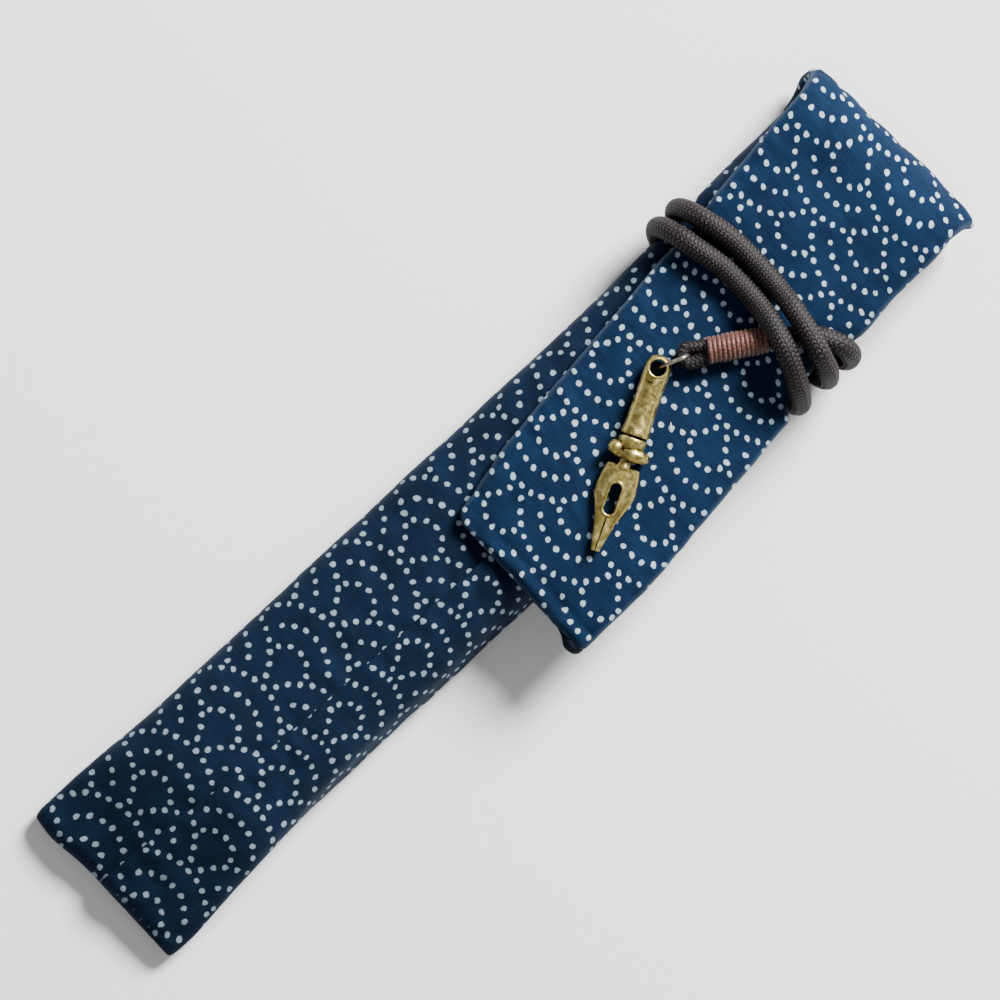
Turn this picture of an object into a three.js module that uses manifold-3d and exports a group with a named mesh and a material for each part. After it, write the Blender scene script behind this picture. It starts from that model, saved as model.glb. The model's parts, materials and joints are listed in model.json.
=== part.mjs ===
// Brush roll case: a slim padded cotton sleeve for one brush or pen. Its back cloth runs on past
// the mouth and folds over the front as a flap, and a waxed cord is wound round the two. The cord
// ends in a whipped eye, an oval wire ring and a brass nib charm.
//
// Millimetres, +Z up. The origin is the middle of the flat underside, and +X runs to the fold.

import * as THREE from 'three';
import { LoftGeometry } from 'three/addons/geometries/LoftGeometry.js';
import { mergeVertices } from 'three/addons/utils/BufferGeometryUtils.js';
import Module from 'manifold-3d';

// ---------------------------------------------------------------- driving dimensions

const GAP = 0.2; // between cloth layers that lie on each other
const SHELL = 0.5; // printed outer cotton
const WADDING = 0.6; // padding in the sleeve
const FLAP_WADDING = 1.0; // padding in the flap and the fold
const LINING = 0.4;

const SLEEVE = { end: -91.2, mouth: 84.4, halfWidth: 15.2, height: 12.2, middleY: 0.3, corner: 5 };
const END_HEIGHT = 5; // the sleeve thins to this at its closed end
const FOLD_X = 84.65; // axis that the flap is folded round, at y = 0
const FOLD_TURN = THREE.MathUtils.degToRad(3.5); // how far the fold line is out of square
const FLAP = { end: -6, halfWidth: 17.6, endHalfWidth: 16.1 };
const CORD_RADIUS = 1.9;
const CORD_LIE = 0.05; // the cord's lowest strands stand this far above the underside

// heights of the layers, from the underside up
const HEM_BOTTOM = SLEEVE.height + GAP;
const HEM_TOP = HEM_BOTTOM + 0.4;
const FLAP_LINING_BOTTOM = HEM_TOP + GAP;
const FLAP_BOTTOM = FLAP_LINING_BOTTOM + LINING + GAP;
const FLAP_TOP = FLAP_BOTTOM + 2 * SHELL + 2 * GAP + FLAP_WADDING;
const FOLD_RADIUS = FLAP_TOP / 2;

// the stretch of the case that the cord draws in
const CINCH = [40.6, 44.6, 65.4, 69.4];
const CINCH_DEPTH = 4.2; // groove in the underside that the back strands lie in

// the cord's end fittings, along the flap's top
const WHIP_START = new THREE.Vector3(54.5, -9.2, FLAP_TOP + GAP + CORD_RADIUS);
const WHIP_END = new THREE.Vector3(45.6, -3.65, WHIP_START.z);
const EYE = new THREE.Vector3(42.7, -2.0, WHIP_START.z);
const EYE_LOOP = { radius: 1.9, tube: 1.0 };
const HOLE = new THREE.Vector3(37.1, 0.1, WHIP_START.z); // centre of the charm's hole
const RIM = { hole: 1.55, outside: 2.35 };
const WIRE = { radius: 0.35, bend: 1.65 };

// ---------------------------------------------------------------- materials

const cloth = (color) => new THREE.MeshStandardMaterial({ color, roughness: 0.9, metalness: 0 });
const printedCotton = () => cloth(0x1b3f6b);
const liningCotton = () => cloth(0x22304a);
const wadding = () => cloth(0xe8e4da);
const thread = () => cloth(0x16243c);
const waxedCord = () => new THREE.MeshStandardMaterial({ color: 0x3a3230, roughness: 0.55 });
const whippingThread = () => new THREE.MeshStandardMaterial({ color: 0x7a4030, roughness: 0.7 });
const darkWire = () => new THREE.MeshStandardMaterial({ color: 0x5c564c, roughness: 0.35, metalness: 1 });
const antiqueBrass = () => new THREE.MeshStandardMaterial({ color: 0x9a8548, roughness: 0.4, metalness: 1 });

// ---------------------------------------------------------------- helpers

const part = new THREE.Group();

function add(name, geometry, material, parent = part) {
	const mesh = new THREE.Mesh(geometry, material);
	mesh.name = name;
	parent.add(mesh);
	return mesh;
}

const smooth = (from, to, x) => THREE.MathUtils.smoothstep(x, from, to);
const blend = THREE.MathUtils.lerp;

// 1 on the cinched stretch, 0 away from it
const cinch = (x) => smooth(CINCH[0], CINCH[1], x) * (1 - smooth(CINCH[2], CINCH[3], x));

// Near the fold the cross-sections turn until they are parallel with the fold line.
const turned = (x, y) => x - Math.tan(FOLD_TURN) * y * smooth(40, SLEEVE.mouth, x);

const CORNER_STEPS = 3;

// A rounded box section at x, counterclockwise as seen from +X, with extra points on its long edges.
function section(x, { left, right, bottom, top, corner }, edgeSteps = 2, sag = () => 0) {
	const radius = Math.min(corner, 0.48 * (top - bottom));
	const outline = [];
	const corners = [
		[left - radius, bottom + radius, -90],
		[left - radius, top - radius, 0],
		[right + radius, top - radius, 90],
		[right + radius, bottom + radius, 180],
	];
	corners.forEach(([y, z, start], index) => {
		for (let step = 0; step <= CORNER_STEPS; step++) {
			const angle = THREE.MathUtils.degToRad(start + step * 90 / CORNER_STEPS);
			outline.push([y + radius * Math.cos(angle), z + radius * Math.sin(angle)]);
		}
		if (index % 2 === 1) {
			const [nextY, , nextStart] = corners[(index + 1) % 4];
			const height = nextStart === 90 ? top : bottom;
			for (let step = 1; step <= edgeSteps; step++)
				outline.push([blend(y, nextY, step / (edgeSteps + 1)), height]);
		}
	});
	return outline.map(([y, z]) => new THREE.Vector3(turned(x, y), y, z - sag(x, y)));
}

// A sleeve closed at its first section and open at its last: the outside, then the inside back again,
// drawn together to one point at the inner end.
function cup(outside, inside) {
	const centre = inside[0].reduce((sum, point) => sum.add(point), new THREE.Vector3())
		.divideScalar(inside[0].length);
	const point = inside[0].map(() => centre);
	return new LoftGeometry([...outside, ...inside.toReversed(), point], { capStart: true });
}

const solidLoft = (sections) => new LoftGeometry(sections, { capStart: true, capEnd: true });

// Moves a straight box of the given size so that its middle is at (x, y, z).
function bar(length, width, height, x, y, z) {
	return new THREE.BoxGeometry(length, width, height).translate(x, y, z);
}

// ---------------------------------------------------------------- booleans

const wasm = await Module();
wasm.setup();

function solid(geometry) {
	const bare = new THREE.BufferGeometry().setIndex(geometry.index)
		.setAttribute('position', geometry.attributes.position);
	const merged = mergeVertices(bare, 1e-4);
	return new wasm.Manifold(new wasm.Mesh({
		numProp: 3,
		vertProperties: merged.attributes.position.array,
		triVerts: new Uint32Array(merged.index.array),
	}));
}

function geometryOf(manifold) {
	const { vertProperties, triVerts } = manifold.getMesh();
	const geometry = new THREE.BufferGeometry();
	geometry.setAttribute('position', new THREE.BufferAttribute(vertProperties, 3));
	geometry.setIndex(new THREE.BufferAttribute(triVerts, 1));
	geometry.computeVertexNormals();
	return geometry;
}

// ---------------------------------------------------------------- sleeve

// The sleeve's outline at x, taken in by depth on every side.
function sleeveAt(x, depth) {
	const half = SLEEVE.halfWidth + 0.9 * (1 - smooth(-92, -60, x)) + 2.3 * smooth(30, 84, x);
	const thin = smooth(SLEEVE.end - 4, -70, x);
	return {
		left: SLEEVE.middleY + half - 1.9 * cinch(x) - depth,
		right: SLEEVE.middleY - half + 0.4 * cinch(x) + depth,
		bottom: CINCH_DEPTH * cinch(x) + depth,
		top: blend(END_HEIGHT - 1.2, SLEEVE.height, thin) - depth,
		corner: SLEEVE.corner - depth,
	};
}

// All three layers share their stations, so they stay evenly apart. Each starts further in.
const END_STATIONS = [SLEEVE.end, -90.2, -88.2, -87.2, -85.2, -84.2, -77];
const LONG_STATIONS = [-70, -35, 0, 30, CINCH[0], 42.6, CINCH[1], CINCH[2], 67.4, CINCH[3], 77, SLEEVE.mouth];

function sleeveLayer(outer, thickness, firstStation) {
	const sections = (depth, first) => [...END_STATIONS.slice(first), ...LONG_STATIONS]
		.map((x) => section(x, sleeveAt(x, depth)));
	return cup(sections(outer, firstStation), sections(outer + thickness, firstStation + 1));
}

const waddingDepth = SHELL + GAP;
const liningDepth = waddingDepth + WADDING + GAP;
add('outer_shell', sleeveLayer(0, SHELL, 0), printedCotton());
add('sleeve_padding', sleeveLayer(waddingDepth, WADDING, 2), wadding());
add('sleeve_lining', sleeveLayer(liningDepth, LINING, 4), liningCotton());

// The closed end is turned in and sewn flat.
const endHem = solidLoft([SLEEVE.end - 2.2, SLEEVE.end - 1.6, SLEEVE.end - GAP].map((x, index) =>
	section(x, { left: 16.1 - 0.6 * (2 - index), right: -15.8 + 0.6 * (2 - index), bottom: 0.3, top: 3.6, corner: 1.2 })));
add('end_hem', endHem, printedCotton());
add('end_stitch', bar(0.5, 29, 0.4, SLEEVE.end - 1, 0.2, 4.0), thread());

// The cloth closes on the front, under a turned hem that runs the whole length.
const hemY = (x) => blend(-2.6, -7.2, (x + 90) / 174);
const hemEdges = (x, wide) => ({
	left: hemY(x) + 0.2,
	right: hemY(x) - wide,
	bottom: HEM_BOTTOM,
	top: HEM_TOP,
	corner: 0.19,
});
const hemStations = [-66, -40, 0, 40, 60, SLEEVE.mouth - 0.5];
add('closing_hem', solidLoft(hemStations.map((x) => section(x, hemEdges(x, 3.2), 0))), printedCotton());
const closingStitch = hemStations.map((x) => section(x, {
	left: hemY(x) + 0.9, right: hemY(x) + 0.45, bottom: HEM_BOTTOM, top: HEM_BOTTOM + 0.3, corner: 0.1,
}, 0));
add('closing_stitch', solidLoft(closingStitch), thread());

// Round the mouth the shell, padding and lining are bound together, on the front and both sides.
const bindingSections = (x) => {
	const edges = sleeveAt(SLEEVE.mouth, 0);
	return {
		outside: section(x, edges),
		inside: section(x, sleeveAt(SLEEVE.mouth, liningDepth + LINING)),
	};
};
const bindingFrom = SLEEVE.mouth + GAP;
const bindingTo = bindingFrom + 1.1;
const bindingBlock = solid(solidLoft([bindingFrom, bindingTo].map((x) => bindingSections(x).outside)))
	.subtract(solid(solidLoft([bindingFrom - 1, bindingTo + 1].map((x) => bindingSections(x).inside))))
	.subtract(solid(bar(8, 60, 9.2, bindingFrom, 0, 0)));
add('mouth_binding', geometryOf(bindingBlock), printedCotton());

// A bar of stitches at each side of the mouth holds the front to the back.
for (const [side, y] of [['left', 16.6], ['right', -16.0]]) {
	const x = turned(SLEEVE.mouth, y) + 0.8;
	add(`mouth_tack_${side}`, bar(0.8, 1.0, 1.6, x, y, 3.55), thread());
}

// ---------------------------------------------------------------- fold

const fold = new THREE.Group();
fold.position.set(FOLD_X, 0, FOLD_RADIUS);
fold.rotation.z = FOLD_TURN;
part.add(fold);

// Half a tube round the fold line, from the back of the sleeve up to the flap.
function foldLayer(outer, inner, width) {
	const ring = new THREE.Shape();
	ring.absarc(0, 0, outer, -Math.PI / 2, Math.PI / 2, false);
	ring.absarc(0, 0, inner, Math.PI / 2, -Math.PI / 2, true);
	const geometry = new THREE.ExtrudeGeometry(ring, { depth: width, bevelEnabled: false, curveSegments: 14 });
	return geometry.rotateX(Math.PI / 2).translate(0, width / 2 + 0.1, 0);
}

const foldWadding = FOLD_RADIUS - SHELL - GAP;
const foldLining = foldWadding - FLAP_WADDING - GAP;
add('fold_shell', foldLayer(FOLD_RADIUS, FOLD_RADIUS - SHELL, 35.6), printedCotton(), fold);
add('fold_padding', foldLayer(foldWadding, foldWadding - FLAP_WADDING, 34.2), wadding(), fold);
add('fold_lining', foldLayer(foldLining, foldLining - LINING, 34.2), liningCotton(), fold);

// ---------------------------------------------------------------- flap

// The flap runs on from the fold, so it lies out of line with the sleeve by twice the fold's turn.
const flapMiddle = (x) => 0.1 - (FOLD_X - x) * Math.tan(2 * FOLD_TURN);
const flapHalf = (x) => blend(FLAP.endHalfWidth, FLAP.halfWidth, smooth(FLAP.end, 12, x));
const flapLeft = (x) => flapMiddle(x) + flapHalf(x) - 0.9 * cinch(x);
const flapRight = (x) => flapMiddle(x) - flapHalf(x) + 2.9 * cinch(x);

// The edge that overhangs the sleeve droops, most of all where the cord draws it down.
function flapSag(x, y) {
	const over = (1 - smooth(-21, -11, y)) * blend(1.2, 3.0, cinch(x));
	return over + 0.9 * smooth(9, 14, y) * cinch(x);
}

function flapAt(x, depth, bottom, top) {
	return { left: flapLeft(x) - depth, right: flapRight(x) + depth, bottom, top, corner: 1.3 };
}

const FLAP_STATIONS = [0, 7, 14, CINCH[0], 42.6, CINCH[1], CINCH[2], 67.4, CINCH[3], FOLD_X - GAP];
const flapSections = (first, depth, bottom, top) =>
	[first, ...FLAP_STATIONS].map((x) => section(x, flapAt(x, depth, bottom, top), 6, flapSag));

add('flap_shell', cup(
	flapSections(FLAP.end, 0, FLAP_BOTTOM, FLAP_TOP),
	flapSections(FLAP.end + SHELL, SHELL, FLAP_BOTTOM + SHELL, FLAP_TOP - SHELL),
), printedCotton());

const paddingDepth = SHELL + GAP + 0.1;
const FLAP_MARGIN = 3.0; // from the flap's edge to its padding
add('flap_padding', solidLoft(flapSections(
	FLAP.end + FLAP_MARGIN, FLAP_MARGIN, FLAP_BOTTOM + paddingDepth, FLAP_TOP - paddingDepth,
)), wadding());
add('flap_lining', solidLoft(flapSections(
	FLAP.end + FLAP_MARGIN, FLAP_MARGIN, FLAP_LINING_BOTTOM, FLAP_LINING_BOTTOM + LINING - 0.05,
)), liningCotton());

// A rolled hem is turned under along the free end, and shows as a lump at the right corner.
const flapHem = [4.2, -8, -20, -26.6].map((y) => new THREE.Vector3(FLAP.end - 0.2, y, 0));
const hemRadius = 0.9;
const hemHeight = FLAP_LINING_BOTTOM + hemRadius;
const flapEndHem = solidLoft(flapHem.map(({ x, y }) => {
	const centreZ = hemHeight - flapSag(x, y);
	return Array.from({ length: 8 }, (_, index) => {
		const angle = index * Math.PI / 4;
		return new THREE.Vector3(x - 1.2 + hemRadius * Math.cos(angle), y, centreZ + hemRadius * Math.sin(angle));
	});
}));
add('flap_end_hem', flapEndHem, printedCotton());

// ---------------------------------------------------------------- cord

const LOW = CORD_LIE + CORD_RADIUS + 0.05;
const HIGH = FLAP_TOP + GAP + CORD_RADIUS + 0.1;
const OVER = HIGH + 2 * CORD_RADIUS + 0.3;

// The strands turn round the two edges of the case in half circles, between its back and its front.
const BEND = (HIGH - LOW) / 2;
function bend(centreY, side, fromX, toX, degrees) {
	return degrees.map((degree, index) => {
		const angle = THREE.MathUtils.degToRad(degree);
		const x = blend(fromX, toX, index / (degrees.length - 1));
		return [x, centreY + side * BEND * Math.cos(angle), (HIGH + LOW) / 2 + BEND * Math.sin(angle)];
	});
}
const upRight = (fromX, toX) => bend(-13.0, -1, fromX, toX, [-90, -60, -30, 0]);
const downLeft = (fromX, toX) => bend(9.8, 1, fromX, toX, [90, 60, 30, 0, -30, -60, -90]);

// Wound two and a half turns towards the fold. The end then goes back under both front strands.
const CORD_ROUTE = [
	// plain end, lying on the back
	[47.4, 6, LOW], [48.0, -1, LOW], [48.8, -7.5, LOW],
	...upRight(49.5, 50.7),
	// first strand over the flap, humped where it passes over the cord's own end
	[51.5, -20.6, 14.4], [52.6, -18.8, 18.4], [54.1, -15.8, 21.2], [55.5, -12.0, OVER],
	[56.6, -8.0, 21.6], [57.2, -3.9, 19.4], [57.3, 0.6, HIGH + 0.1], [57.1, 5.4, HIGH],
	...downLeft(56.2, 51.0),
	[52.6, 4, LOW], [54.2, -4, LOW],
	...upRight(55.7, 57.4),
	// second strand over the flap
	[57.9, -20.8, 14.6], [58.5, -19.4, 18.6], [59.3, -16.8, 21.6], [60.3, -12.8, OVER],
	[61.1, -8.4, 21.4], [61.6, -4.0, 19.2], [61.8, 0.6, HIGH + 0.1], [61.7, 5.4, HIGH],
	...downLeft(61.2, 55.2),
	[56.8, 4, LOW], [58.4, -4, LOW],
	...upRight(60.0, 62.4),
	// the end, back under both strands
	[63.1, -20.9, 13.2], [63.2, -19.9, 15.8], [62.7, -17.9, 17.7], [61.2, -15.2, HIGH], [58.7, -12.5, HIGH],
];

const whipDirection = WHIP_END.clone().sub(WHIP_START).normalize();
const cordEnd = WHIP_START.clone().addScaledVector(whipDirection, -GAP);
const cordPath = new THREE.CatmullRomCurve3(
	[...CORD_ROUTE.map((point) => new THREE.Vector3(...point)), cordEnd], false, 'centripetal');

const octagon = new THREE.Shape(Array.from({ length: 8 }, (_, index) => {
	const angle = index * Math.PI / 4;
	return new THREE.Vector2(CORD_RADIUS * Math.cos(angle), CORD_RADIUS * Math.sin(angle));
}));
add('tie_cord', new THREE.ExtrudeGeometry(octagon, {
	steps: 80, bevelEnabled: false, extrudePath: cordPath,
}), waxedCord());

// Turns a piece made along +Y so that it points along a direction, with its start at a place.
function alongDirection(mesh, start, direction) {
	mesh.quaternion.setFromUnitVectors(new THREE.Vector3(0, 1, 0), direction);
	mesh.position.copy(start);
}

// Thirteen turns of thread bind the cord's end and the eye together.
const WHIP_TURNS = 13;
const whipLength = WHIP_START.distanceTo(WHIP_END);
const whipProfile = [new THREE.Vector2(0, 0)];
for (let turn = 0; turn <= 2 * WHIP_TURNS; turn++) {
	const radius = CORD_RADIUS - (turn % 2 === 0 ? 0.2 : 0);
	whipProfile.push(new THREE.Vector2(radius, whipLength * turn / (2 * WHIP_TURNS)));
}
whipProfile.push(new THREE.Vector2(0, whipLength));
const whipping = add('cord_whipping', new THREE.LatheGeometry(whipProfile, 10), whippingThread());
alongDirection(whipping, WHIP_START, whipDirection);

const eyeGeometry = new THREE.TorusGeometry(EYE_LOOP.radius, EYE_LOOP.tube, 8, 16);
add('cord_eye', eyeGeometry, waxedCord()).position.copy(EYE);

// ---------------------------------------------------------------- ring

const ringDirection = EYE.clone().sub(HOLE).normalize();
const ringSpan = HOLE.distanceTo(EYE) - EYE_LOOP.radius - (RIM.hole + RIM.outside) / 2;
const ringMiddle = HOLE.clone().addScaledVector(ringDirection, (RIM.hole + RIM.outside) / 2 + ringSpan / 2);

// A round ring drawn out into an oval, standing on edge through the eye and the charm's hole.
const ovalRing = new THREE.TorusGeometry(WIRE.bend, WIRE.radius, 8, 20);
const ringPoints = ovalRing.attributes.position;
for (let index = 0; index < ringPoints.count; index++) {
	const x = ringPoints.getX(index);
	ringPoints.setX(index, x + Math.sign(Math.round(x * 100)) * ringSpan / 2);
}
const jumpRing = add('jump_ring', ovalRing.rotateX(Math.PI / 2), darkWire());
jumpRing.position.copy(ringMiddle);
jumpRing.rotation.z = Math.atan2(ringDirection.y, ringDirection.x);

// ---------------------------------------------------------------- charm

// Made along +X from the hole's centre, with its flat back at z = 0.
const HALF_THICK = HOLE.z - FLAP_TOP - GAP;
const alongX = (geometry, x, z) => geometry.rotateZ(-Math.PI / 2).translate(x, 0, z);

const barrel = alongX(new THREE.CylinderGeometry(2.2, 2.2, 11, 14), 6.8, HALF_THICK);
const loopPlate = new THREE.CylinderGeometry(RIM.outside, RIM.outside, 2, 18).rotateX(Math.PI / 2)
	.translate(0, 0, HALF_THICK);
const neck = alongX(new THREE.LatheGeometry([
	[0, 0], [1.9, 0], [1.9, 0.7], [2.5, 1.1], [2.45, 1.9], [1.9, 2.9], [1.7, 6], [0, 6],
].map(([radius, length]) => new THREE.Vector2(radius, length)), 14), 12.2, HALF_THICK);
const collar = new THREE.SphereGeometry(1, 14, 8).scale(1.3, 3.6, 2.6).translate(15.9, 0, HALF_THICK);

const nibOutline = new THREE.Shape();
nibOutline.moveTo(17.6, 0);
nibOutline.lineTo(17.6, 1.8);
nibOutline.quadraticCurveTo(19.2, 3.1, 22, 3.1);
nibOutline.quadraticCurveTo(25, 2.4, 33.2, 0.3);
nibOutline.lineTo(33.2, -0.3);
nibOutline.quadraticCurveTo(25, -2.4, 22, -3.1);
nibOutline.quadraticCurveTo(19.2, -3.1, 17.6, -1.8);
nibOutline.closePath();
const nib = new THREE.ExtrudeGeometry(nibOutline, {
	depth: 1.2, bevelThickness: 0.5, bevelSize: 0.5, bevelSegments: 1, curveSegments: 6,
}).translate(0, 0, 0.5);

const slotShape = new THREE.Shape();
slotShape.absarc(22.4, 0, 1.1, Math.PI / 2, 3 * Math.PI / 2, false);
slotShape.absarc(26.2, 0, 1.1, -Math.PI / 2, Math.PI / 2, false);
const ventSlot = new THREE.ExtrudeGeometry(slotShape, { depth: 8, bevelEnabled: false, curveSegments: 6 })
	.translate(0, 0, -2);
const hole = new THREE.CylinderGeometry(RIM.hole, RIM.hole, 12, 14).rotateX(Math.PI / 2);

const charmSolid = [loopPlate, neck, collar, nib].reduce((made, piece) => made.add(solid(piece)), solid(barrel))
	.subtract(solid(ventSlot))
	.subtract(solid(hole))
	.subtract(solid(bar(8, 0.3, 1, 31, 0, 2.4)))
	.subtract(solid(bar(60, 30, 4, 16, 0, -2)));
const charm = add('nib_charm', geometryOf(charmSolid), antiqueBrass());
charm.position.set(HOLE.x, HOLE.y, FLAP_TOP + GAP);
charm.rotation.z = Math.atan2(-0.482, -0.876);

export default part;
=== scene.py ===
# Brush roll case: the looks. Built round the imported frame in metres; sizes below are in millimetres.

import json
import math

import bmesh
import bpy
import numpy as np
from mathutils import Matrix, Vector


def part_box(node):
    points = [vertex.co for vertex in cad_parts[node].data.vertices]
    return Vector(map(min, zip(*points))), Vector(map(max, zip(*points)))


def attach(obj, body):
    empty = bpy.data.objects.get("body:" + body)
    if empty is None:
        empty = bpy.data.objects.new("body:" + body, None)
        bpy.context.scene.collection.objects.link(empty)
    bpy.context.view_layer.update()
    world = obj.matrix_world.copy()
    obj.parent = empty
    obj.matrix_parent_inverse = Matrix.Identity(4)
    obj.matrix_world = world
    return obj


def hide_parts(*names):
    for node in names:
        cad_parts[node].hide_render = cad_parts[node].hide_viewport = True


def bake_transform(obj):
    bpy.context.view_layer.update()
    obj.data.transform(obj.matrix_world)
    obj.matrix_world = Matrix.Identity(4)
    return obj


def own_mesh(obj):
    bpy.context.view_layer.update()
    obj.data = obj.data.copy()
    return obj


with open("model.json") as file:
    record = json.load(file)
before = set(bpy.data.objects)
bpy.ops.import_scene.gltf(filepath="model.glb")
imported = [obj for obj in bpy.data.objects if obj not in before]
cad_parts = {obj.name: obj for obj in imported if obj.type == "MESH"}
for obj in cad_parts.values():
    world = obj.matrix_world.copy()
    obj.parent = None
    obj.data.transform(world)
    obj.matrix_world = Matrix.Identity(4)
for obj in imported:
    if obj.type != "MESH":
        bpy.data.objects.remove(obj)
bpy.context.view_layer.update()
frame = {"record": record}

MM = 0.001
TAU = math.tau
UP = np.array([0.0, 0.0, 1.0])

# ---------------------------------------------------------------- places, from the frame


def box_mm(node):
    return [np.array(corner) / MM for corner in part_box(node)]


joints = {joint["name"]: joint for joint in frame["record"]["behaviour"]["joints"]}
hinge_low = np.array(joints["flap_unroll_low"]["pos_m"]) / MM
hinge_high = np.array(joints["flap_unroll_high"]["pos_m"]) / MM
hinge_axis = joints["flap_unroll_low"]["axis"]
FOLD_R = (hinge_low[2] + hinge_high[2]) / 2  # outside of the fold
FOLD_TURN = math.atan2(-hinge_axis[0], hinge_axis[1])
FOLD_X = hinge_low[0] - math.pi / 4 * FOLD_R * math.cos(FOLD_TURN)
FLAP_TOP = 2 * FOLD_R
FLAP_BOTTOM = box_mm("flap_lining")[1][2] - 0.35
FLAP_END = box_mm("flap_shell")[0][0]
SLEEVE_END = box_mm("end_hem")[0][0]
SLEEVE_TOP = box_mm("outer_shell")[1][2]
MOUTH = FOLD_X - 0.25
HOLE = np.array(joints["charm_swing"]["pos_m"]) / MM
CORD_R = 1.9
CLOTH = 0.5

# ---------------------------------------------------------------- camera, as in the picture

TURN = math.radians(-42.85)  # the case lies from lower left to upper right
FRAME_WIDTH = 172.4
CAMERA_HEIGHT = 3000
camera_data = bpy.data.cameras.new("camera")
camera_data.sensor_width = 36
camera_data.lens = 36 * (CAMERA_HEIGHT - FLAP_TOP) / FRAME_WIDTH
camera_data.clip_end = 20
camera = bpy.data.objects.new("camera", camera_data)
camera.location = Vector((1.70, 1.95, CAMERA_HEIGHT)) * MM
camera.rotation_euler = (0, 0, TURN)
bpy.context.collection.objects.link(camera)
bpy.context.scene.camera = camera

# ---------------------------------------------------------------- helpers


def smooth(start, end, x):
    t = np.clip((np.asarray(x, float) - start) / (end - start), 0, 1)
    return t * t * (3 - 2 * t)


def lerp(a, b, t):
    return a + (b - a) * t


def bell(x, width):
    return np.exp(-(np.asarray(x) / width) ** 2)


def waves(x, y, length, seed):
    """A smooth random field with bumps about length across, between about -1.5 and 1.5."""
    draw = np.random.default_rng(seed)
    total = 0
    count = 9
    for _ in range(count):
        angle, phase = draw.uniform(0, TAU, 2)
        pace = TAU / length * draw.uniform(0.7, 1.4)
        total = total + np.sin(pace * (x * math.cos(angle) + y * math.sin(angle)) + phase)
    return total / math.sqrt(count)


def new_object(name, vertices, faces, materials, indices=None, fields=None):
    """A smooth-shaded mesh from millimetres. fields are named values at its vertices."""
    mesh = bpy.data.meshes.new(name)
    mesh.from_pydata((np.asarray(vertices) * MM).tolist(), [], [tuple(map(int, f)) for f in faces])
    for material in materials:
        mesh.materials.append(material)
    if indices is not None:
        mesh.polygons.foreach_set("material_index", np.asarray(indices, np.int32))
    for field, values in (fields or {}).items():
        attribute = mesh.attributes.new(field, "FLOAT_VECTOR", "POINT")
        attribute.data.foreach_set("vector", np.asarray(values, np.float32).ravel())
    mesh.polygons.foreach_set("use_smooth", [True] * len(mesh.polygons))
    mesh.update()
    made = bpy.data.objects.new(name, mesh)
    bpy.context.collection.objects.link(made)
    return made


def grid_faces(rows, columns):
    """Faces between rings of vertices, left open at both ends."""
    i, j = np.meshgrid(np.arange(rows - 1), np.arange(columns), indexing="ij")
    k = (j + 1) % columns
    quads = np.stack([i * columns + j, i * columns + k, (i + 1) * columns + k, (i + 1) * columns + j], -1)
    return quads.reshape(-1, 4).tolist()


def closed_ring(rings):
    """Vertices and faces of a tube whose last ring joins its first."""
    rows, columns, _ = rings.shape
    faces = grid_faces(rows, columns)
    last = (rows - 1) * columns
    for j in range(columns):
        k = (j + 1) % columns
        faces.append([last + j, last + k, k, j])
    return rings.reshape(-1, 3), faces


def tube(points, offset=0):
    """Vertices and faces of a closed tube from rings of points, with a point in each end."""
    rows, columns, _ = points.shape
    vertices = np.concatenate([points.reshape(-1, 3), points[0].mean(0)[None], points[-1].mean(0)[None]])
    faces = grid_faces(rows, columns)
    first, last = rows * columns, rows * columns + 1
    for j in range(columns):
        k = (j + 1) % columns
        faces.append([j, first, k])
        faces.append([(rows - 1) * columns + k, last, (rows - 1) * columns + j])
    return vertices, [[index + offset for index in face] for face in faces]


def unit(v):
    return v / np.linalg.norm(v, axis=-1, keepdims=True)


def carried_frames(path):
    """Two directions across a path at each point, carried along it without twisting."""
    tangents = unit(np.gradient(path, axis=0))
    start = np.cross(tangents[0], UP if abs(tangents[0][2]) < 0.9 else np.array([1.0, 0, 0]))
    sides = [unit(start)]
    for tangent in tangents[1:]:
        side = sides[-1] - tangent * np.dot(sides[-1], tangent)
        sides.append(unit(side))
    sides = np.array(sides)
    return sides, np.cross(tangents, sides)


def sweep(path, radius, around):
    """Rings round a path. radius is a number or an array of one row for each point of the path."""
    side, other = carried_frames(path)
    angles = np.arange(around) * TAU / around
    radius = np.broadcast_to(np.asarray(radius, float), (len(path), around)) if np.ndim(radius) != 1 \
        else np.repeat(np.asarray(radius, float)[:, None], around, 1)
    across = side[:, None] * np.cos(angles)[None, :, None] + other[:, None] * np.sin(angles)[None, :, None]
    return path[:, None] + across * radius[..., None]


def even_steps(path, step):
    lengths = np.concatenate([[0], np.cumsum(np.linalg.norm(np.diff(path, axis=0), axis=1))])
    places = np.linspace(0, lengths[-1], max(3, round(lengths[-1] / step) + 1))
    return np.stack([np.interp(places, lengths, path[:, axis]) for axis in range(3)], -1)


def curve_through(points, per_span=24):
    """A centripetal Catmull-Rom curve, as in the CAD."""
    points = np.array(points, float)
    ends = [2 * points[0] - points[1], *points, 2 * points[-1] - points[-2]]
    made = []
    t = np.linspace(0, 1, per_span, endpoint=False)[:, None]
    for a, b, c, d in zip(ends, ends[1:], ends[2:], ends[3:]):
        before, span, after = (math.sqrt(np.linalg.norm(q - p)) for p, q in ((a, b), (b, c), (c, d)))
        leave = span * ((b - a) / before - (c - a) / (before + span) + (c - b) / span)
        arrive = span * ((c - b) / span - (d - b) / (span + after) + (d - c) / after)
        made.append((2 * t**3 - 3 * t**2 + 1) * b + (t**3 - 2 * t**2 + t) * leave
                    + (3 * t**2 - 2 * t**3) * c + (t**3 - t**2) * arrive)
    return np.concatenate([*made, points[-1][None]])


# ---------------------------------------------------------------- materials


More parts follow.
